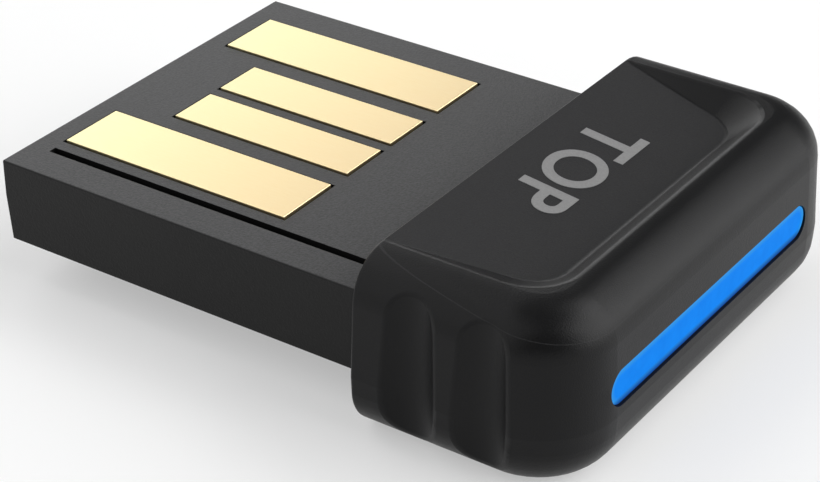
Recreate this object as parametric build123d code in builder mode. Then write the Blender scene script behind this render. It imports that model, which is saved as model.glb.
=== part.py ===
from build123d import *
import os
from math import radians, tan

# A nano USB bluetooth adapter: a flat half-height USB-A plug that ends in a short moulded cap.
# Millimetres. +X runs from the plug's tip to the lit front face, +Y across, +Z up to the
# contacts' side. The origin is on the underside of the cap, in the middle of the length and width.

# Plug: the blade that enters the socket
plug_width = 12.0
plug_length = 12.0
plug_thickness = 2.35
plug_lift = 1.15
plug_y = -0.2
lead_in_height = 1.3
lead_in_depth = 0.12
skin_thickness = 0.5
side_wall = 0.8
tip_wall = 0.7
plug_edge_radius = 0.05

# Long shadow groove in the top of the plug, on the near side
groove_width = 0.25
groove_depth = 0.35
groove_y = -4.81
groove_start = 0.71

# Contact strips: the standard pitch of a USB-A plug, outer pair long and wide
outer_contact_offset = 3.5
inner_contact_offset = 1.0
contact_shift = 0.28
outer_contact_width = 2.03
inner_contact_width = 1.54
outer_contact_start = 0.72
inner_contact_start = 2.24
contact_end = 8.02
contact_thickness = 0.2
contact_rise = 0.05
contact_gap = 0.08
contact_edge_break = 0.03
leg_width = 0.8
leg_length = 0.3
leg_inset = 0.5
leg_clearance = 0.05

# Tail: the stepped-in part of the plug that the cap is pushed over
tail_length = 3.5
tail_side_step = 0.25
tail_face_step = 0.15
barb_start = 1.0
barb_length = 1.1
barb_flat = 0.3
barb_height = 1.1
barb_reach = 0.2

# Base: the plate that closes the plug from below, with two rails that carry the board
base_thickness = 0.4
base_ledge = 0.25
base_clearance = 0.03
rail_width = 0.25
rail_inset = 0.1
rail_end_gap = 0.6

# Board
board_thickness = 0.6
board_clearance = 0.05
board_overhang = 1.0
board_corner = 0.35

# Cap
cap_length = 6.2
cap_width = 14.4
cap_height = 4.9
parting_height = 1.7
draft_angle = 3.0
cap_corner_radius = 2.2
cap_top_radius = 1.25
cap_bottom_radius = 1.3
cap_rear_edge_radius = 0.1
front_wall = 0.9
push_fit_clearance = 0.05

# Thumb scoop in the cap's top: a sloping plate with rising walls on three sides. The shape that
# cuts it carries a flat skirt at the rim, so that the rounding between the two rounds the crest.
scoop_slope = 7.4
scoop_side_margin = 1.42
scoop_front_margin = 1.48
scoop_corner_radius = 1.3
scoop_side_run = 2.0
scoop_front_run = 1.25
scoop_corner_run = 0.8
scoop_foot_radius = 0.2
scoop_crest_radius = 0.25
scoop_skirt = 0.6
scoop_overlap = 0.2

# Grip flutes in both sides of the cap
flute_count = 2
flute_pitch = 2.05
flute_first = 1.67
flute_width = 1.55
flute_depth = 0.38
flute_edge_radius = 0.2

# Light bar across the cap's front face
light_length = 10.04
light_height = 0.94
light_z = 2.43
light_recess = 0.05
light_clearance = 0.03
flange_length = 10.9
flange_height = 1.7
flange_thickness = 0.5
flange_corner = 0.4

# Parts under the board: length along X, width along Y, height
chip_size = (5.0, 5.0, 0.75)
flash_size = (2.0, 3.0, 0.55)
regulator_size = (2.0, 2.0, 0.6)
protector_size = (1.0, 2.5, 0.5)
crystal_size = (2.0, 1.6, 0.5)
fuse_size = (1.6, 0.8, 0.6)
bead_size = (1.6, 0.8, 0.6)
inductor_size = (2.0, 1.25, 0.75)
antenna_size = (1.6, 3.2, 0.6)
capacitor_size = (1.0, 0.5, 0.5)
resistor_size = (1.0, 0.5, 0.35)
led_size = (0.8, 1.6, 0.6)
part_gap = 0.35
row_1_side_y = 3.4
row_2_side_y = 2.3
row_4_side_y = 2.6
led_y = 2.6
capacitor_pitch = 1.8
dot_radius = 0.2
dot_depth = 0.06
terminal_length = 0.25
terminal_step = 0.03
crystal_base_height = 0.2
crystal_lid_inset = 0.1
lens_width = 1.0
lens_reach = 0.25

# How far a cutting shape runs past the surface it opens
run_out = 1.0

# Places worked out from the sizes above
overall_length = plug_length + cap_length
tip_x = -overall_length / 2
shoulder_x = tip_x + plug_length
front_x = shoulder_x + cap_length
tail_end_x = shoulder_x + tail_length
plug_top_z = plug_lift + plug_thickness
board_top_z = plug_top_z - skin_thickness
board_bottom_z = board_top_z - board_thickness
base_top_z = plug_lift + base_thickness
cavity_start_x = tip_x + tip_wall
cavity_width = plug_width - 2 * side_wall
base_seat_width = cavity_width + 2 * base_ledge
board_start_x = cavity_start_x + board_clearance
board_end_x = tail_end_x + board_overhang
board_width = cavity_width - 2 * board_clearance
tail_width = plug_width - 2 * tail_side_step
tail_height = plug_thickness - 2 * tail_face_step
tail_middle_z = plug_lift + plug_thickness / 2
barb_x = shoulder_x + barb_start
leg_x = tip_x + contact_end - leg_inset
contact_underside_z = plug_top_z + contact_rise - contact_thickness


def plug_level(z):
    """Sketch plane at a height, centred on the plug, which sits a little off the cap's middle."""
    return Plane((0, plug_y, z))


def contact_rows():
    """Each contact strip: its name, its centre line, its width and its end nearest the tip."""
    return [
        ("contact_1", contact_shift - outer_contact_offset, outer_contact_width, outer_contact_start),
        ("contact_2", contact_shift - inner_contact_offset, inner_contact_width, inner_contact_start),
        ("contact_3", contact_shift + inner_contact_offset, inner_contact_width, inner_contact_start),
        ("contact_4", contact_shift + outer_contact_offset, outer_contact_width, outer_contact_start),
    ]


# Plug body: blade and tail in one moulding, open from below, with a pocket for each contact
with BuildPart() as plug_body:
    with BuildSketch(Plane.XZ.offset(-plug_y)):
        with BuildLine():
            Polyline(
                (tip_x, plug_top_z),
                (tip_x, plug_lift + lead_in_height),
                (tip_x + lead_in_depth, plug_lift),
                (shoulder_x, plug_lift),
                (shoulder_x, plug_top_z),
                close=True,
            )
        make_face()
    extrude(amount=plug_width / 2, both=True)
    upright_edges = plug_body.edges().filter_by(Axis.Z).group_by(Axis.X)[0]
    top_edges = plug_body.faces().sort_by(Axis.Z)[-1].edges().sort_by(Axis.X)[:-1]
    fillet(upright_edges + top_edges, plug_edge_radius)
    with BuildSketch(Plane.YZ.offset(shoulder_x)):
        with Locations((plug_y, tail_middle_z)):
            Rectangle(tail_width, tail_height)
    extrude(amount=tail_length)
    with BuildSketch(plug_level(tail_middle_z)):
        with BuildLine():
            Polyline(
                (barb_x, tail_width / 2 - run_out),
                (barb_x, tail_width / 2 + barb_reach),
                (barb_x + barb_flat, tail_width / 2 + barb_reach),
                (barb_x + barb_length, tail_width / 2),
                (barb_x + barb_length, tail_width / 2 - run_out),
                close=True,
            )
        make_face()
        mirror(about=Plane.XZ)
    extrude(amount=barb_height / 2, both=True)
    with BuildSketch(plug_level(plug_lift)):
        with Locations((cavity_start_x, 0)):
            Rectangle(
                tail_end_x - cavity_start_x + run_out,
                cavity_width,
                align=(Align.MIN, Align.CENTER),
            )
    extrude(amount=board_top_z - plug_lift, mode=Mode.SUBTRACT)
    with BuildSketch(plug_level(plug_lift)):
        with Locations((cavity_start_x - base_ledge, 0)):
            Rectangle(
                tail_end_x - cavity_start_x + base_ledge + run_out,
                base_seat_width,
                align=(Align.MIN, Align.CENTER),
            )
    extrude(amount=base_thickness, mode=Mode.SUBTRACT)
    with BuildSketch(plug_level(contact_underside_z)):
        for _, y, width, start in contact_rows():
            with Locations((tip_x + start - contact_gap, y)):
                Rectangle(
                    contact_end - start + 2 * contact_gap,
                    width + 2 * contact_gap,
                    align=(Align.MIN, Align.CENTER),
                )
    extrude(amount=run_out, mode=Mode.SUBTRACT)
    with BuildSketch(plug_level(board_top_z)):
        for _, y, _, _ in contact_rows():
            with Locations((leg_x, y)):
                Rectangle(leg_length + 2 * leg_clearance, leg_width + 2 * leg_clearance)
    extrude(amount=skin_thickness, mode=Mode.SUBTRACT)
    with BuildSketch(plug_level(plug_top_z - groove_depth)):
        with Locations((tip_x + groove_start, groove_y)):
            Rectangle(plug_length - groove_start, groove_width, align=(Align.MIN, Align.CENTER))
    extrude(amount=run_out, mode=Mode.SUBTRACT)

# Plug base: a flush plate from below, with two rails under the board's edges
base_start_x = cavity_start_x - base_ledge + base_clearance
base_width = base_seat_width - 2 * base_clearance
rail_y = board_width / 2 - rail_inset - rail_width / 2
with BuildPart() as plug_base:
    with BuildSketch(plug_level(plug_lift)):
        with Locations((base_start_x, 0)):
            Rectangle(shoulder_x - base_start_x, base_width, align=(Align.MIN, Align.CENTER))
    extrude(amount=base_thickness)
    with BuildSketch(plug_level(plug_lift + tail_face_step)):
        with Locations((shoulder_x, 0)):
            Rectangle(tail_length, base_width, align=(Align.MIN, Align.CENTER))
    extrude(amount=base_thickness - tail_face_step)
    with BuildSketch(plug_level(base_top_z)):
        with Locations((board_start_x + rail_end_gap, -rail_y), (board_start_x + rail_end_gap, rail_y)):
            Rectangle(
                tail_end_x - board_start_x - 2 * rail_end_gap,
                rail_width,
                align=(Align.MIN, Align.CENTER),
            )
    extrude(amount=board_bottom_z - base_top_z)


def make_contact(y, width, start):
    """A flat strip with a broken top edge and one leg that stands on the board."""
    with BuildPart() as contact:
        with BuildSketch(plug_level(contact_underside_z)):
            with Locations((tip_x + start, y)):
                Rectangle(contact_end - start, width, align=(Align.MIN, Align.CENTER))
        extrude(amount=contact_thickness)
        fillet(contact.faces().sort_by(Axis.Z)[-1].edges(), contact_edge_break)
        with BuildSketch(plug_level(board_top_z)):
            with Locations((leg_x, y)):
                Rectangle(leg_length, leg_width)
        extrude(amount=contact_underside_z - board_top_z)
    return contact.part


contacts = {name: make_contact(y, width, start) for name, y, width, start in contact_rows()}

# Circuit board, with its front corners cut
with BuildPart() as circuit_board:
    with BuildSketch(plug_level(board_bottom_z)) as board_outline:
        with Locations((board_start_x, 0)):
            Rectangle(board_end_x - board_start_x, board_width, align=(Align.MIN, Align.CENTER))
        chamfer(board_outline.vertices().group_by(Axis.X)[-1], board_corner)
    extrude(amount=board_thickness)

# Cap: a drafted moulding with rounded rims, scooped on top and fluted at both sides
plate_plane = Plane(
    origin=(shoulder_x, 0, cap_height),
    x_dir=(0, 1, 0),
    z_dir=(tan(radians(scoop_slope)), 0, 1),
)
scoop_depth = (cap_length - scoop_front_margin) * tan(radians(scoop_slope)) + scoop_foot_radius


def scoop_outline(depth):
    """Outline of the scoop at a depth below the cap's rim: walls close in as it goes down."""
    half_width = cap_width / 2 - scoop_side_margin - scoop_side_run * depth
    reach = cap_length - scoop_front_margin - scoop_front_run * depth
    with BuildSketch(Plane.XY.offset(cap_height - depth)) as outline:
        with Locations((shoulder_x - run_out, 0)):
            Rectangle(reach + run_out, 2 * half_width, align=(Align.MIN, Align.CENTER))
        fillet(
            outline.vertices().group_by(Axis.X)[-1],
            scoop_corner_radius - scoop_corner_run * depth,
        )
    return outline.sketch


rim_plane = Plane.XY.offset(cap_height)
with BuildPart() as scoop:
    add(scoop_outline(scoop_depth))
    add(scoop_outline(-scoop_overlap))
    loft(ruled=True)
    split(bisect_by=plate_plane, keep=Keep.TOP)
    fillet(scoop.faces().sort_by(Axis.Z)[0].edges().sort_by(Axis.X)[1:], scoop_foot_radius)
    split(bisect_by=rim_plane, keep=Keep.BOTTOM)
    with BuildSketch(rim_plane):
        with Locations((shoulder_x - run_out, 0)):
            Rectangle(
                run_out + cap_length - scoop_front_margin + scoop_skirt,
                cap_width - 2 * (scoop_side_margin - scoop_skirt),
                align=(Align.MIN, Align.CENTER),
            )
    extrude(amount=run_out)
    skirt_underside = scoop.faces().filter_by(Plane.XY).sort_by(Axis.Z)[-2]
    fillet(skirt_underside.inner_wires()[0].edges(), scoop_crest_radius)

flute_radius = (flute_width**2 / 4 + flute_depth**2) / (2 * flute_depth)
flute_axis_y = cap_width / 2 - flute_depth + flute_radius
flute_places = [
    (shoulder_x + flute_first + index * flute_pitch, side * flute_axis_y)
    for index in range(flute_count)
    for side in (-1, 1)
]

with BuildPart() as cap:
    with BuildSketch(Plane.XY.offset(parting_height)) as cap_outline:
        with Locations((shoulder_x - run_out, 0)):
            Rectangle(cap_length + run_out, cap_width, align=(Align.MIN, Align.CENTER))
        fillet(cap_outline.vertices().group_by(Axis.X)[-1], cap_corner_radius)
    extrude(amount=cap_height - parting_height, taper=draft_angle)
    extrude(cap_outline.sketch, amount=parting_height, dir=(0, 0, -1), taper=draft_angle)
    split(bisect_by=Plane.YZ.offset(shoulder_x), keep=Keep.TOP)
    fillet(cap.faces().sort_by(Axis.Z)[-1].edges().sort_by(Axis.X)[1:], cap_top_radius)
    fillet(cap.faces().sort_by(Axis.Z)[0].edges().sort_by(Axis.X)[1:], cap_bottom_radius)
    fillet(cap.faces().sort_by(Axis.X)[0].edges(), cap_rear_edge_radius)
    with BuildSketch():
        with Locations(*flute_places):
            Circle(flute_radius)
    extrude(amount=cap_height, mode=Mode.SUBTRACT)
    fillet(cap.edges(Select.LAST), flute_edge_radius)
    add(scoop.part, mode=Mode.SUBTRACT)
    with BuildSketch(Plane.YZ.offset(shoulder_x)):
        with Locations((plug_y, tail_middle_z)):
            Rectangle(tail_width + 2 * push_fit_clearance, tail_height + 2 * push_fit_clearance)
    extrude(amount=cap_length - front_wall, mode=Mode.SUBTRACT)
    with BuildSketch(plug_level(tail_middle_z)):
        with Locations((barb_x - push_fit_clearance, 0)):
            Rectangle(
                barb_length + 2 * push_fit_clearance,
                tail_width + 2 * (barb_reach + push_fit_clearance),
                align=(Align.MIN, Align.CENTER),
            )
    extrude(amount=barb_height / 2 + push_fit_clearance, both=True, mode=Mode.SUBTRACT)
    with BuildSketch(Plane.YZ.offset(front_x - front_wall)):
        with Locations((plug_y, light_z)):
            SlotOverall(light_length + 2 * light_clearance, light_height + 2 * light_clearance)
    extrude(amount=front_wall + run_out, mode=Mode.SUBTRACT)

# Light guide: a clear bar through the slot, with a flange that seats behind the front wall
front_face_x = front_x - (light_z - parting_height) * tan(radians(draft_angle))
with BuildPart() as light_guide:
    with BuildSketch(Plane.YZ.offset(front_x - front_wall)):
        with Locations((plug_y, light_z)):
            SlotOverall(light_length, light_height)
    extrude(amount=front_face_x - light_recess - front_x + front_wall)
    with BuildSketch(Plane.YZ.offset(front_x - front_wall - flange_thickness)):
        with Locations((plug_y, tail_middle_z)):
            RectangleRounded(flange_length, flange_height, flange_corner)
    extrude(amount=flange_thickness)


def make_package(size, x, y):
    """A moulded chip under the board, with a dot that marks its first pin."""
    length, width, height = size
    with BuildPart() as package:
        with BuildSketch(plug_level(board_bottom_z - height)):
            with Locations((x, y)):
                Rectangle(length, width)
        extrude(amount=height)
        with BuildSketch(plug_level(board_bottom_z - height)):
            with Locations((x - length / 2 + 2 * dot_radius, y - width / 2 + 2 * dot_radius)):
                Circle(dot_radius)
        extrude(amount=dot_depth, mode=Mode.SUBTRACT)
    return package.part


def make_two_ended(size, *places):
    """Chip parts under the board, each a little thinner between its two plated ends."""
    length, width, height = size
    if length > width:
        waist = (length - 2 * terminal_length, width)
    else:
        waist = (length, width - 2 * terminal_length)
    with BuildPart() as parts:
        with BuildSketch(plug_level(board_bottom_z - height)):
            with Locations(*places):
                Rectangle(length, width)
        extrude(amount=height)
        with BuildSketch(plug_level(board_bottom_z - height)):
            with Locations(*places):
                Rectangle(*waist)
        extrude(amount=terminal_step, mode=Mode.SUBTRACT)
    return parts.part


def make_led(x, y):
    """A side-facing lamp at the board's front edge, with a bowed lens towards the light guide."""
    length, width, height = led_size
    rear_x = x - length / 2
    body_front_x = x + length / 2 - lens_reach
    with BuildPart() as led:
        with BuildSketch(plug_level(board_bottom_z - height)):
            with BuildLine():
                Polyline(
                    (body_front_x, y + lens_width / 2),
                    (body_front_x, y + width / 2),
                    (rear_x, y + width / 2),
                    (rear_x, y - width / 2),
                    (body_front_x, y - width / 2),
                    (body_front_x, y - lens_width / 2),
                )
                ThreePointArc(
                    (body_front_x, y - lens_width / 2),
                    (body_front_x + lens_reach, y),
                    (body_front_x, y + lens_width / 2),
                )
            make_face()
        extrude(amount=height)
    return led.part


# Rows of parts under the board, from the tip inwards, then back from the board's front edge
row_1_x = board_start_x + part_gap + fuse_size[0] / 2
row_2_x = row_1_x + (fuse_size[0] + flash_size[0]) / 2 + part_gap
chip_x = row_2_x + (flash_size[0] + chip_size[0]) / 2 + part_gap
row_4_x = chip_x + (chip_size[0] + crystal_size[0]) / 2 + part_gap
led_x = board_end_x - led_size[0] / 2
led_resistor_x = board_end_x - led_size[0] - part_gap - resistor_size[0] / 2
antenna_x = board_end_x - part_gap - antenna_size[0] / 2
capacitor_y = chip_size[1] / 2 + part_gap + capacitor_size[1] / 2
pair_y = (capacitor_size[1] + part_gap) / 2

capacitor_places = [
    (chip_x + step * capacitor_pitch, side * capacitor_y) for step in (-1, 0, 1) for side in (-1, 1)
] + [(row_4_x, side * pair_y) for side in (-1, 1)]
resistor_places = [(row_2_x, side * pair_y) for side in (-1, 1)]
resistor_places += [(led_resistor_x, side * led_y) for side in (-1, 1)]

under_board = {
    "bluetooth_chip": make_package(chip_size, chip_x, 0),
    "flash_chip": make_package(flash_size, row_2_x, -row_2_side_y),
    "voltage_regulator": make_package(regulator_size, row_2_x, row_2_side_y),
    "surge_protector": make_package(protector_size, row_1_x, 0),
    "fuse": make_two_ended(fuse_size, (row_1_x, -row_1_side_y)),
    "ferrite_bead": make_two_ended(bead_size, (row_1_x, row_1_side_y)),
    "inductor": make_two_ended(inductor_size, (row_4_x, row_4_side_y)),
    "chip_antenna": make_two_ended(antenna_size, (antenna_x, 0)),
    "capacitors": make_two_ended(capacitor_size, *capacitor_places),
    "resistors": make_two_ended(resistor_size, *resistor_places),
    "status_led_left": make_led(led_x, led_y),
    "status_led_right": make_led(led_x, -led_y),
}

# Clock crystal: a ceramic base with a metal lid set in from its edges
with BuildPart() as crystal:
    with BuildSketch(plug_level(board_bottom_z - crystal_base_height)):
        with Locations((row_4_x, -row_4_side_y)):
            Rectangle(crystal_size[0], crystal_size[1])
    extrude(amount=crystal_base_height)
    with BuildSketch(plug_level(board_bottom_z - crystal_size[2])):
        with Locations((row_4_x, -row_4_side_y)):
            Rectangle(
                crystal_size[0] - 2 * crystal_lid_inset,
                crystal_size[1] - 2 * crystal_lid_inset,
            )
    extrude(amount=crystal_size[2] - crystal_base_height)

# One STEP file for each piece
os.makedirs("parts", exist_ok=True)
plug_body.part.label = "plug_body"
export_step(plug_body.part, "parts/plug_body.step")
plug_base.part.label = "plug_base"
export_step(plug_base.part, "parts/plug_base.step")
circuit_board.part.label = "circuit_board"
export_step(circuit_board.part, "parts/circuit_board.step")
cap.part.label = "cap"
export_step(cap.part, "parts/cap.step")
light_guide.part.label = "light_guide"
export_step(light_guide.part, "parts/light_guide.step")
crystal.part.label = "crystal"
export_step(crystal.part, "parts/crystal.step")
for name, piece in (contacts | under_board).items():
    piece.label = name
    export_step(piece, f"parts/{name}.step")
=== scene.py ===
# %% [markdown]
# A nano USB bluetooth adapter, dressed for the camera
#
# The real object is 18 mm long: a flat dark grey plug with four gold contact strips, and a black
# moulded cap with a thumb scoop, grip flutes and a blue light bar. The construction comes ready
# made, as a fixed frame of solids at their real size. This file gives each of those solids its
# finish, prints the mark on the cap, and sets up the floor, the light and the camera.

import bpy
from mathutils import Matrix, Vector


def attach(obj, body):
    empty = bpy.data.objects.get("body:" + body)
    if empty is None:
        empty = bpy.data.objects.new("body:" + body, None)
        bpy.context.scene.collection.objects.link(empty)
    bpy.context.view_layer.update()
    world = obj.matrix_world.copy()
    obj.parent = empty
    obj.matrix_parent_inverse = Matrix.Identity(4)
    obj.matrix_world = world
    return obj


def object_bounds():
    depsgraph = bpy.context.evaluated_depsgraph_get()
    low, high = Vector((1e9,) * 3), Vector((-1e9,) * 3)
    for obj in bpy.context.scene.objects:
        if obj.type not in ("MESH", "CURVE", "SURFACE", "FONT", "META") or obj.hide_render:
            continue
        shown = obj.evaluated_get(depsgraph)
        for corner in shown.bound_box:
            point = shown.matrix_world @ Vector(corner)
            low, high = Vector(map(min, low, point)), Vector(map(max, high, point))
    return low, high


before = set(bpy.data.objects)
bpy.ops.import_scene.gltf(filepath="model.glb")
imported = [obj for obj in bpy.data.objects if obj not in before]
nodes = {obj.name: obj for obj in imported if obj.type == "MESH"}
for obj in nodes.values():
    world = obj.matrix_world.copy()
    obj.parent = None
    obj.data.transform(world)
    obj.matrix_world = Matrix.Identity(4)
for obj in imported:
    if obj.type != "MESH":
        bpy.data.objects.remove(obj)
cad_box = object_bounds()
print("pieces in the frame:", len(nodes))

# %% [markdown]
# The tools this file uses
#
# Blender's own module adds things and changes them, as its menus do, and mathutils gives the
# vectors that place them. The rest is plain Python: angles, and the file of sizes at the end.

# %% The tools this file uses
from math import cos, pi, radians, sin, tan

import bpy
from mathutils import Vector

print("Blender", bpy.app.version_string)

# %% [markdown]
# Units
#
# Blender works in metres here, and this object is measured in millimetres. One named value turns
# one into the other, so that every size below can be read as a size on the real part.

# %% Millimetres
MM = 0.001
cad_low, cad_high = (Vector(corner) for corner in cad_box)
print("size in mm:", [round(edge / MM, 2) for edge in cad_high - cad_low])

# %% [markdown]
# The camera
#
# The photograph looks down on the adapter from the front right, through a long lens, so the
# edges converge only a little. A camera can be flown into place by hand, but then nobody can say
# where it stands. Here it is set as a direction instead: how far round, how high, how far away,
# and the point looked at. Those numbers come from fitting a pinhole camera to the plug's edges in
# the photograph. The object is tiny, so the near clipping distance has to be tiny too, or the
# adapter would be cut away.

# %% Camera
camera_azimuth = radians(-55.67)
camera_elevation = radians(30.90)
camera_distance = 59.575 * MM
camera_target = Vector((2.191, -3.553, 3.5)) * MM
camera_lens_mm = 104.6
nearest_seen = 1 * MM
farthest_seen = 10.0


def direction(azimuth, elevation):
    """Unit vector that points from the object towards a place round and above it."""
    return Vector((cos(azimuth) * cos(elevation), sin(azimuth) * cos(elevation), sin(elevation)))


bpy.ops.object.select_all(action="DESELECT")
bpy.ops.object.camera_add()
camera = bpy.context.object
camera.name = "camera"
camera.data.lens = camera_lens_mm
camera.data.clip_start = nearest_seen
camera.data.clip_end = farthest_seen
camera.location = camera_target + camera_distance * direction(camera_azimuth, camera_elevation)
camera.rotation_euler = (camera_target - camera.location).to_track_quat("-Z", "Y").to_euler()
bpy.context.scene.camera = camera
bpy.context.scene.view_settings.view_transform = "Standard"
print("camera at", [round(part / MM, 1) for part in camera.location], "mm")

# %% [markdown]
# Helpers for materials
#
# Every finish below is a small tree of shader nodes. A node has settings, such as the operation
# of a Math node, and sockets, which take a value or a link. One function sets all of them, so
# that a material reads as a list of what it is made of. Colours are written as a painter would
# pick them on a screen, and one function turns them into the linear values that light needs.

# %% Node and colour helpers
def add_node(tree, kind, settings=None, sockets=None):
    """Add a node, then fill each named or numbered socket with a value or another node's output."""
    made = tree.nodes.new(kind)
    for name, value in (settings or {}).items():
        setattr(made, name, value)
    for name, value in (sockets or {}).items():
        if isinstance(value, bpy.types.NodeSocket):
            tree.links.new(value, made.inputs[name])
        else:
            made.inputs[name].default_value = value
    return made


def colour(hex_text):
    """A colour such as #2C2C2C, turned into the linear values that shaders use."""
    # The numbers below are those of the sRGB standard.
    channels = [int(hex_text[start:start + 2], 16) / 255 for start in (1, 3, 5)]
    linear = [
        value / 12.92 if value <= 0.04045 else ((value + 0.055) / 1.055) ** 2.4
        for value in channels
    ]
    return (*linear, 1.0)


def new_material(name):
    """A material with one shader: returns it, its tree, its shader and its place in millimetres."""
    made = bpy.data.materials.new(name)
    made.use_nodes = True
    tree = made.node_tree
    tree.nodes.clear()
    shader = add_node(tree, "ShaderNodeBsdfPrincipled")
    add_node(tree, "ShaderNodeOutputMaterial", None, {"Surface": shader.outputs["BSDF"]})
    object_place = add_node(tree, "ShaderNodeTexCoord").outputs["Object"]
    in_mm = add_node(
        tree, "ShaderNodeVectorMath", {"operation": "SCALE"}, {0: object_place, "Scale": 1 / MM}
    )
    return made, tree, shader, in_mm.outputs["Vector"]


def set_shader(shader, **values):
    """Set the shader's own sockets: an underscore stands for a space in a socket's name."""
    for name, value in values.items():
        shader.inputs[name.replace("_", " ")].default_value = value


print("middle grey #808080 in linear light:", round(colour("#808080")[0], 3))

# %% [markdown]
# Patterns
#
# Four small helpers are enough for every finish here: noise as a height, a blend of two colours,
# a stretch from one range to another, and plain arithmetic. Sizes go in as millimetres. Nearly all
# of a noise lies between 0.3 and 0.7, so that is the range a pattern is stretched from.

# %% Pattern helpers
noise_octaves = 2.0
noise_fineness = 0.6
noise_low = 0.3
noise_high = 0.7


def grain_height(tree, place, size_mm):
    """Pits about size_mm across, as a height from 0 to 1."""
    return add_node(
        tree,
        "ShaderNodeTexNoise",
        None,
        {
            "Vector": place,
            "Scale": 1 / size_mm,
            "Detail": noise_octaves,
            "Roughness": noise_fineness,
        },
    ).outputs["Fac"]


def mix_colours(tree, share, first, second):
    """Blend two colours, given as values or as outputs, by a share from 0 to 1."""
    # The Mix node has a set of sockets for each kind of value: 6 and 7 are its two colours.
    mixed = add_node(
        tree, "ShaderNodeMix", {"data_type": "RGBA"}, {0: share, 6: first, 7: second}
    )
    return mixed.outputs[2]


def map_value(tree, value, low, high, new_low, new_high):
    """Stretch a value from one range to another, and hold it inside the new one."""
    return add_node(
        tree,
        "ShaderNodeMapRange",
        None,
        {"Value": value, "From Min": low, "From Max": high, "To Min": new_low, "To Max": new_high},
    ).outputs["Result"]


def calculate(tree, operation, first, second=0.0):
    """One step of arithmetic on values or outputs."""
    return add_node(
        tree, "ShaderNodeMath", {"operation": operation}, {0: first, 1: second}
    ).outputs["Value"]


print("patterns: grain, colour blend, stretch and arithmetic")

# %% [markdown]
# Where the plastic is matt and painted paler
#
# Two faces look paler and more matt than the rest: the floor of the thumb scoop and the plug's
# top, round the contacts. The matt is a rougher gloss, and the paler look is painted into their
# colour, a painted sheen that lightens these top faces. That could be a second material on those
# faces, but the cap is one moulding with one skin. So each zone is a mask that reads the place on
# the object, and is 1 near the scoop's sloping plane, or near the plug's top.

# %% Matt zones with painted sheen
scoop_rear_x = 2.9
scoop_rear_z = 4.9
scoop_slope = radians(7.4)
plug_top_z = 3.5
zone_blend_mm = 0.012


def on_scoop_floor(tree, place):
    """1 on the sloping floor of the scoop, 0 elsewhere."""
    parts = add_node(tree, "ShaderNodeSeparateXYZ", None, {"Vector": place})
    along = calculate(tree, "SUBTRACT", parts.outputs["X"], scoop_rear_x)
    drop = calculate(tree, "MULTIPLY", along, tan(scoop_slope))
    raised = calculate(tree, "SUBTRACT", parts.outputs["Z"], scoop_rear_z)
    off_plane = calculate(tree, "ABSOLUTE", calculate(tree, "ADD", raised, drop))
    return map_value(tree, off_plane, zone_blend_mm / 3, zone_blend_mm, 1.0, 0.0)


def on_plug_top(tree, place):
    """1 on the top face of the plug, 0 below it."""
    parts = add_node(tree, "ShaderNodeSeparateXYZ", None, {"Vector": place})
    blend_start = plug_top_z - zone_blend_mm
    blend_end = plug_top_z - zone_blend_mm / 3
    return map_value(tree, parts.outputs["Z"], blend_start, blend_end, 0.0, 1.0)


print("matt zones blend over", zone_blend_mm, "mm")

# %% [markdown]
# Moulded plastic
#
# The cap and the plug are injection moulded, and the steel mould was spark-eroded to a fine matt
# grain. Seen close, that is a skin of tiny pits: it breaks reflections up and hides the flow of
# the plastic. A painted picture of the grain would need unwrapping, and it would stretch over the
# corners. Noise on the object's own coordinates does neither, so the grain is noise in the bump
# and the gloss. A slow second noise shifts the colour a little, because no moulding is quite even.
# Moulded edges are never sharp either, but the solids already have their radii, so the material
# rounds nothing.

# %% Moulded plastic
flow_mm = 4.0
plastic_gloss_spread = 0.03
plastic_ior = 1.46


def moulded_plastic(name, dark, light, roughness, grain_mm, grain_depth_mm, specular, matt_and_sheen):
    """Spark-eroded plastic; the last argument is a rougher zone, its painted sheen colour and
    roughness.
    """
    made, tree, shader, place = new_material(name)
    flow = grain_height(tree, place, flow_mm)
    grain = grain_height(tree, place, grain_mm)
    flow_share = map_value(tree, flow, noise_low, noise_high, 0.0, 1.0)
    tint = mix_colours(tree, flow_share, colour(dark), colour(light))
    glossiest, roughest = roughness - plastic_gloss_spread, roughness + plastic_gloss_spread
    gloss = map_value(tree, grain, noise_low, noise_high, glossiest, roughest)
    zone, painted_sheen_colour, matt_roughness = matt_and_sheen
    share = zone(tree, place)
    # Painted sheen: in the zone the grain is speckled with a paler colour, which lightens the top
    # faces.
    painted_sheen_speckle = mix_colours(tree, grain, tint, colour(painted_sheen_colour))
    tint = mix_colours(tree, share, tint, painted_sheen_speckle)
    rougher = calculate(tree, "MULTIPLY", share, matt_roughness - roughness)
    gloss = calculate(tree, "ADD", gloss, rougher)
    tree.links.new(tint, shader.inputs["Base Color"])
    tree.links.new(gloss, shader.inputs["Roughness"])
    bump = add_node(
        tree, "ShaderNodeBump", None, {"Distance": grain_depth_mm * MM, "Height": grain}
    )
    tree.links.new(bump.outputs["Normal"], shader.inputs["Normal"])
    set_shader(shader, Specular_IOR_Level=specular, IOR=plastic_ior)
    return made


print("slow colour shift of the moulding:", flow_mm, "mm across")

# %% [markdown]
# Cap and plug
#
# Both are nearly black plastic, seen mostly by what it mirrors. The real pits are some hundredths
# of a millimetre across, and one pixel of the photograph covers about 0.025 mm. A grain that fine
# wouldn't show, so it is drawn 0.04 mm across on the cap and 0.06 mm on the plug, as coarse as it
# needs to be. The specular level is set below that of a plain plastic, to come nearer to the
# photograph: at the full level the walls would mirror the pale floor far too brightly.

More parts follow.
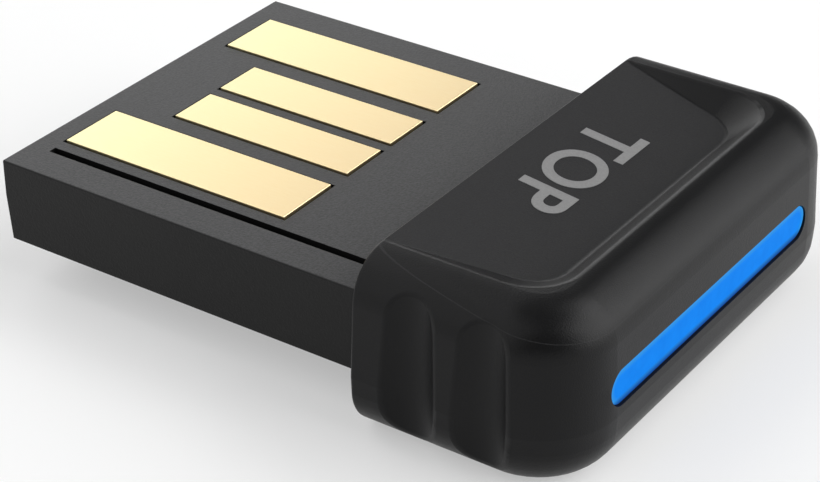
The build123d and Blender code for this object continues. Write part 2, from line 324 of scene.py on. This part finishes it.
# %% Cap and plug plastic
cap_plastic = moulded_plastic(
    "moulded_abs_satin_black",
    "#0D0D0E",
    "#111112",
    roughness=0.38,
    grain_mm=0.04,
    grain_depth_mm=0.006,
    specular=0.21,
    # The scoop floor's paler colour is a painted sheen.
    matt_and_sheen=(on_scoop_floor, "#343435", 0.55),
)
plug_plastic = moulded_plastic(
    "moulded_polyester_matt_dark_grey",
    "#101010",
    "#151515",
    roughness=0.4,
    grain_mm=0.06,
    grain_depth_mm=0.009,
    specular=0.22,
    # The plug top's paler colour is a painted sheen.
    matt_and_sheen=(on_plug_top, "#4C4C4D", 0.4),
)
print("plastics:", cap_plastic.name, plug_plastic.name)

# %% [markdown]
# Gold-plated contacts
#
# Each strip is stamped from copper alloy, rolled flat and plated with a thin, pale hard gold. The
# rolling leaves very fine lines along the strip, which spread the reflection a little. The
# shader's anisotropy could do that, but it shows no single lines. Noise stretched along the strip
# does, at 0.06 mm apart, which is coarser than real rolling lines, so that they show. Towards the
# tip the photograph shows the gold paler, and the colour is painted paler there, a painted
# highlight. A metal keeps the default index of refraction.

# %% Gold contacts
contact_start_x = -8.4
contact_end_x = -1.1
line_spacing_mm = 0.06
line_stretch = (0.15, 1.0, 1.0)
line_strength = 0.3
gold_glossiest = 0.38
gold_roughest = 0.42


def plated_gold():
    """Pale hard gold over rolled copper alloy."""
    made, tree, shader, place = new_material("hard_gold_plating")
    stretched = add_node(
        tree, "ShaderNodeMapping", None, {"Vector": place, "Scale": line_stretch}
    ).outputs["Vector"]
    lines = grain_height(tree, stretched, line_spacing_mm)
    parts = add_node(tree, "ShaderNodeSeparateXYZ", None, {"Vector": place})
    from_tip = map_value(tree, parts.outputs["X"], contact_start_x, contact_end_x, 0.0, 1.0)
    # Painted highlight: the gold's colour turns paler towards the tip.
    painted_highlight_to_tip = mix_colours(tree, from_tip, colour("#F8ECB6"), colour("#F4DAA6"))
    line_share = calculate(tree, "MULTIPLY", lines, line_strength)
    tint = mix_colours(tree, line_share, painted_highlight_to_tip, colour("#FFF6DC"))
    gloss = map_value(tree, lines, noise_low, noise_high, gold_glossiest, gold_roughest)
    tree.links.new(tint, shader.inputs["Base Color"])
    tree.links.new(gloss, shader.inputs["Roughness"])
    set_shader(shader, Metallic=1.0)
    return made


gold = plated_gold()
print("contacts:", gold.name)

# %% [markdown]
# Light bar
#
# The bar is clear acrylic, tinted blue and lit from behind by two small lamps. Its middle glows an
# even, deep blue. Towards its outline a paler blue is painted into the glow and the base colour, a
# painted highlight where the acrylic would catch the daylight, and its lower lip is painted navy, a
# painted shade where it is turned away from the lamps. The outline is a slot with round ends, so
# the distance to it is the distance to a line through the middle, which a few steps of arithmetic
# give. It could be real glass with two lamps behind it, but light through so small a piece renders
# slowly and with specks. So the glow is the material's own, and it lights the cap round it a
# little.

# %% Light bar
bar_middle_y = -0.2
bar_middle_z = 2.43
bar_length = 9.98
bar_height = 0.88
# Width of the painted highlight round the outline and of the painted shade on the lower lip.
bar_painted_edge_mm = 0.16
bar_cloud_mm = 0.5
acrylic_ior = 1.49


def lit_acrylic():
    """A clear blue bar filled with light, with a painted highlight at its edge and painted shade
    below.
    """
    made, tree, shader, place = new_material("tinted_acrylic_lit_blue")
    parts = add_node(tree, "ShaderNodeSeparateXYZ", None, {"Vector": place})
    half_height = bar_height / 2
    sideways = calculate(tree, "SUBTRACT", parts.outputs["Y"], bar_middle_y)
    across = calculate(tree, "ABSOLUTE", sideways)
    beyond = calculate(tree, "SUBTRACT", across, bar_length / 2 - half_height)
    past_middle = calculate(tree, "MAXIMUM", beyond, 0.0)
    raised = calculate(tree, "SUBTRACT", parts.outputs["Z"], bar_middle_z)
    past_squared = calculate(tree, "MULTIPLY", past_middle, past_middle)
    raised_squared = calculate(tree, "MULTIPLY", raised, raised)
    squared = calculate(tree, "ADD", past_squared, raised_squared)
    from_line = calculate(tree, "SQRT", squared)
    # Painted highlight: the glow turns paler towards the outline.
    painted_highlight_rim = map_value(tree, from_line, half_height - bar_painted_edge_mm, half_height, 0.0, 1.0)
    # Painted shade: the glow turns navy along the lower lip.
    painted_shade_lip = map_value(tree, raised, -half_height, -half_height + bar_painted_edge_mm, 1.0, 0.0)
    cloud = grain_height(tree, place, bar_cloud_mm)
    core = mix_colours(tree, cloud, colour("#007AE6"), colour("#0A8AF6"))
    core_with_painted_highlight = mix_colours(tree, painted_highlight_rim, core, colour("#2F8ED6"))
    glow = mix_colours(tree, painted_shade_lip, core_with_painted_highlight, colour("#103E8A"))
    tree.links.new(glow, shader.inputs["Emission Color"])
    # The base colour also carries the painted highlight at the outline.
    tree.links.new(
        mix_colours(tree, painted_highlight_rim, colour("#04142C"), colour("#0C2C50")), shader.inputs["Base Color"]
    )
    set_shader(
        shader, Roughness=0.4, Specular_IOR_Level=0.01, IOR=acrylic_ior, Emission_Strength=1.0
    )
    return made


blue = lit_acrylic()
print("light bar:", blue.name)

# %% [markdown]
# The parts inside
#
# The circuit board and its parts are sealed in, but each still has the finish of the real one:
# green solder mask over woven glass, black epoxy with a fine moulded grain, fired ceramic that is
# never one even colour, a brushed nickel-plated lid, and clear resin over the lamps. Each could
# have a function of its own, as the plastics do. Nobody sees them with the cap on, though, and they
# all need the same three steps, two colours, a pattern and a gloss, so one function makes them.

# %% Finishes of the parts inside
even = (1.0, 1.0, 1.0)
sealed_gloss_spread = 0.05
crisp_low = 0.35
crisp_high = 0.65


def sealed_part_finish(name, dark, light, size_mm, stretch, roughness, metallic=0.0, depth_mm=0.0):
    """Two colours in a pattern of one real size, stretched along the part where it was rolled."""
    made, tree, shader, place = new_material(name)
    stretched = add_node(
        tree, "ShaderNodeMapping", None, {"Vector": place, "Scale": stretch}
    ).outputs["Vector"]
    pattern = grain_height(tree, stretched, size_mm)
    share = map_value(tree, pattern, crisp_low, crisp_high, 0.0, 1.0)
    tint = mix_colours(tree, share, colour(dark), colour(light))
    glossiest, roughest = roughness - sealed_gloss_spread, roughness + sealed_gloss_spread
    gloss = map_value(tree, pattern, noise_low, noise_high, glossiest, roughest)
    tree.links.new(tint, shader.inputs["Base Color"])
    tree.links.new(gloss, shader.inputs["Roughness"])
    bump = add_node(
        tree, "ShaderNodeBump", None, {"Distance": depth_mm * MM, "Height": pattern}
    )
    tree.links.new(bump.outputs["Normal"], shader.inputs["Normal"])
    set_shader(shader, Metallic=metallic)
    return made


laminate = sealed_part_finish(
    "solder_mask_on_glass_laminate", "#10351A", "#1A4A26",
    size_mm=0.25, stretch=(1.0, 0.2, 1.0), roughness=0.35, depth_mm=0.004,
)
epoxy = sealed_part_finish(
    "moulded_epoxy_black", "#17171A", "#222225",
    size_mm=0.05, stretch=even, roughness=0.55, depth_mm=0.003,
)
ceramic = sealed_part_finish(
    "sintered_ceramic_tan", "#7C6B57", "#9A8A74",
    size_mm=0.12, stretch=even, roughness=0.45, depth_mm=0.003,
)
ferrite = sealed_part_finish(
    "sintered_ferrite_grey", "#3A3B3F", "#505257",
    size_mm=0.09, stretch=even, roughness=0.5, depth_mm=0.003,
)
alumina = sealed_part_finish(
    "fired_alumina_white", "#D9D8D2", "#ECEBE6",
    size_mm=0.1, stretch=even, roughness=0.4, depth_mm=0.002,
)
nickel = sealed_part_finish(
    "nickel_plated_lid", "#ABABA6", "#C6C6C0",
    size_mm=0.05, stretch=(0.1, 1.0, 1.0), roughness=0.3, metallic=1.0, depth_mm=0.001,
)
resin = sealed_part_finish(
    "cast_clear_resin", "#D3DEEA", "#E4ECF4",
    size_mm=0.4, stretch=even, roughness=0.2, depth_mm=0.001,
)
inside = (laminate, epoxy, ceramic, ferrite, alumina, nickel, resin)
print("finishes inside:", [made.name for made in inside])

# %% [markdown]
# Give each piece its finish
#
# Each solid of the frame arrives with a plain placeholder. By hand, one would pick a finish for
# each in the material tab. A table does the same and can be read at a glance: which piece of the
# real adapter is made of what.

# %% Give each piece its finish
finishes = {
    "cap": cap_plastic,
    "plug_body": plug_plastic,
    "plug_base": plug_plastic,
    "contact_1": gold,
    "contact_2": gold,
    "contact_3": gold,
    "contact_4": gold,
    "light_guide": blue,
    "circuit_board": laminate,
    "bluetooth_chip": epoxy,
    "flash_chip": epoxy,
    "voltage_regulator": epoxy,
    "surge_protector": epoxy,
    "fuse": alumina,
    "ferrite_bead": ferrite,
    "inductor": ferrite,
    "crystal": nickel,
    "chip_antenna": alumina,
    "capacitors": ceramic,
    "resistors": epoxy,
    "status_led_left": resin,
    "status_led_right": resin,
}
for name, node in nodes.items():
    node.data.materials.clear()
    node.data.materials.append(finishes[name])
print("pieces with a finish:", len(nodes))

# %% [markdown]
# The printed mark
#
# The scoop carries one plain word, which tells the user which way up the plug goes in. It is pad
# printed: a soft silicone pad lays a layer of grey ink on the plastic, only some hundredths of a
# millimetre thick. It could be a mask in the plastic's material, but its edges would blur when
# seen close. A thin mesh keeps them sharp. Blender's text is easiest, in its own plain font: it is
# made a mesh and brought to the height and width of the print.

# %% Text of the mark
mark_height = 1.65
mark_width = 4.68
mark_middle_x = 4.74
mark_middle_y = 0.24
ink_thickness = 0.03
ink_stroke_gain = 0.03
letter_spacing = 1.04

bpy.ops.object.select_all(action="DESELECT")
bpy.ops.object.text_add()
mark = bpy.context.object
mark.name = "printed_mark"
mark.data.body = "TOP"
mark.data.size = mark_height * MM
mark.data.align_x = "CENTER"
mark.data.align_y = "CENTER"
mark.data.space_character = letter_spacing
mark.data.offset = ink_stroke_gain * MM
mark.data.extrude = ink_thickness / 2 * MM
bpy.ops.object.convert(target="MESH")
mark = bpy.context.object
bpy.ops.object.origin_set(type="ORIGIN_GEOMETRY", center="BOUNDS")
print("font's own size in mm:", [round(edge / MM, 2) for edge in mark.dimensions])

# %% [markdown]
# Lay the mark on the scoop
#
# The word runs across the sloping floor of the scoop and stands upright for somebody who looks
# from the plug's tip. It could be dragged there by hand. Here the turn, scale and place are set as
# numbers and then applied, so that the finished mesh holds its own place, as the frame's pieces do.

# %% Mark on the scoop
mark_z = scoop_rear_z - (mark_middle_x - scoop_rear_x) * tan(scoop_slope)
quarter_turn = radians(-90)
mark.scale = (mark_width * MM / mark.dimensions.x, mark_height * MM / mark.dimensions.y, 1.0)
mark.rotation_euler = (-scoop_slope, 0.0, quarter_turn)
mark.location = Vector((mark_middle_x, mark_middle_y, mark_z)) * MM
bpy.ops.object.transform_apply(location=True, rotation=True, scale=True)
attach(mark, "root")
print("mark has", len(mark.data.polygons), "faces")

# %% [markdown]
# Ink
#
# Printing ink is matt and never quite even. A flat grey would look cut out, so two close greys
# are blended by a fine noise.

# %% Printing ink
ink_mottle_mm = 0.06
ink, tree, shader, place = new_material("pad_printed_grey_ink")
ink_mottle = grain_height(tree, place, ink_mottle_mm)
ink_tint = mix_colours(tree, ink_mottle, colour("#727272"), colour("#868686"))
tree.links.new(ink_tint, shader.inputs["Base Color"])
set_shader(shader, Roughness=0.6, Specular_IOR_Level=0.3)
mark.data.materials.append(ink)
print("ink:", ink.name)

# %% [markdown]
# The floor
#
# The photograph shows the adapter on plain white. A wide pale card gives that, and keeps a soft
# shadow. A card as white as paper would be lit well past white where all the lamps reach it, and
# the cap's front wall would mirror that. So the card itself is a light grey, and a glow of its own
# makes up the rest, for the camera and in the reflections on plastic and gold. The glow lights
# nothing else, and it also softens the shadow.

# %% Floor
floor_half_width = 600 * MM
floor_drop = 0.01 * MM
floor_lift = 0.4
bpy.ops.object.select_all(action="DESELECT")
bpy.ops.mesh.primitive_plane_add(
    size=2 * floor_half_width, location=(0, 0, cad_low.z - floor_drop)
)
floor = bpy.context.object
floor.name = "floor"
floor_card, tree, shader = new_material("matt_pale_card")[:3]
rays = add_node(tree, "ShaderNodeLightPath").outputs
mirrored = calculate(tree, "MAXIMUM", rays["Is Glossy Ray"], rays["Is Transmission Ray"])
seen = calculate(tree, "MAXIMUM", rays["Is Camera Ray"], mirrored)
glow = calculate(tree, "MULTIPLY", seen, floor_lift)
tree.links.new(glow, shader.inputs["Emission Strength"])
set_shader(
    shader,
    Base_Color=colour("#BEBEBE"),
    Roughness=0.9,
    Specular_IOR_Level=0.0,
    Emission_Color=colour("#FFFFFF"),
)
floor.data.materials.append(floor_card)
print("floor is", round(2 * floor_half_width / MM), "mm wide")

# %% [markdown]
# The light
#
# Black satin plastic shows little of its own colour and mostly what is round it. A ready-made
# picture of a studio would light it, but it would be a file, and its lamps couldn't be moved. So
# the light is built from softboxes, laid out by what the cap reflects in the photograph. A large
# one stands to the right, with a small one above it, and gives the bright bands on the rims and the
# end of the cap. A wider, weaker one on the left lights the grip and the near side. Another, behind
# and low, lies in the mirror direction of the plug's top, which it turns grey, and of the contacts.
# The last hangs above that one and picks out the rim of the scoop. Between them, and above the
# camera, it stays dark. All this is set for the photograph's own view. From the plug's tip the
# contacts mirror the right softbox and clip to white.

# %% Lamps
lamp_distance_mm = 300
lamp_centre = Vector((0, 0, 2.5)) * MM


def softbox(name, azimuth, elevation, width_mm, height_mm, radiance):
    """A rectangular lamp that faces the object from a direction; radiance 1 looks white."""
    towards = direction(radians(azimuth), radians(elevation))
    bpy.ops.object.light_add(
        type="AREA", location=lamp_centre + towards * lamp_distance_mm * MM
    )
    lamp = bpy.context.object
    lamp.name = name
    lamp.rotation_euler = (-towards).to_track_quat("-Z", "Y").to_euler()
    lamp.data.shape = "RECTANGLE"
    lamp.data.size = width_mm * MM
    lamp.data.size_y = height_mm * MM
    lamp.data.energy = radiance * pi * width_mm * MM * height_mm * MM
    return lamp


# Each: azimuth and elevation in degrees, width and height in mm, radiance
lamps = [
    softbox("right_softbox", 25, 27, 360, 310, 3.8),
    softbox("upper_right_softbox", 62, 52, 150, 120, 3.2),
    softbox("left_softbox", -130, 36, 540, 400, 1.2),
    softbox("back_softbox", 136, 17, 190, 180, 1.75),
    softbox("top_back_softbox", 165, 45, 200, 200, 1.5),
]
print("lamps:", [lamp.name for lamp in lamps])

# %% [markdown]
# The room
#
# Round the softboxes the room is dim, as a studio is, so that the black cap keeps its depth. It
# could have a sky or a horizon, but one even colour leaves no horizon to show in the plastic.

# %% World
room_light = 0.06
world = bpy.data.worlds.new("studio")
bpy.context.scene.world = world
world.use_nodes = True
set_shader(world.node_tree.nodes["Background"], Color=colour("#FFFFFF"), Strength=room_light)
print("room light:", room_light)
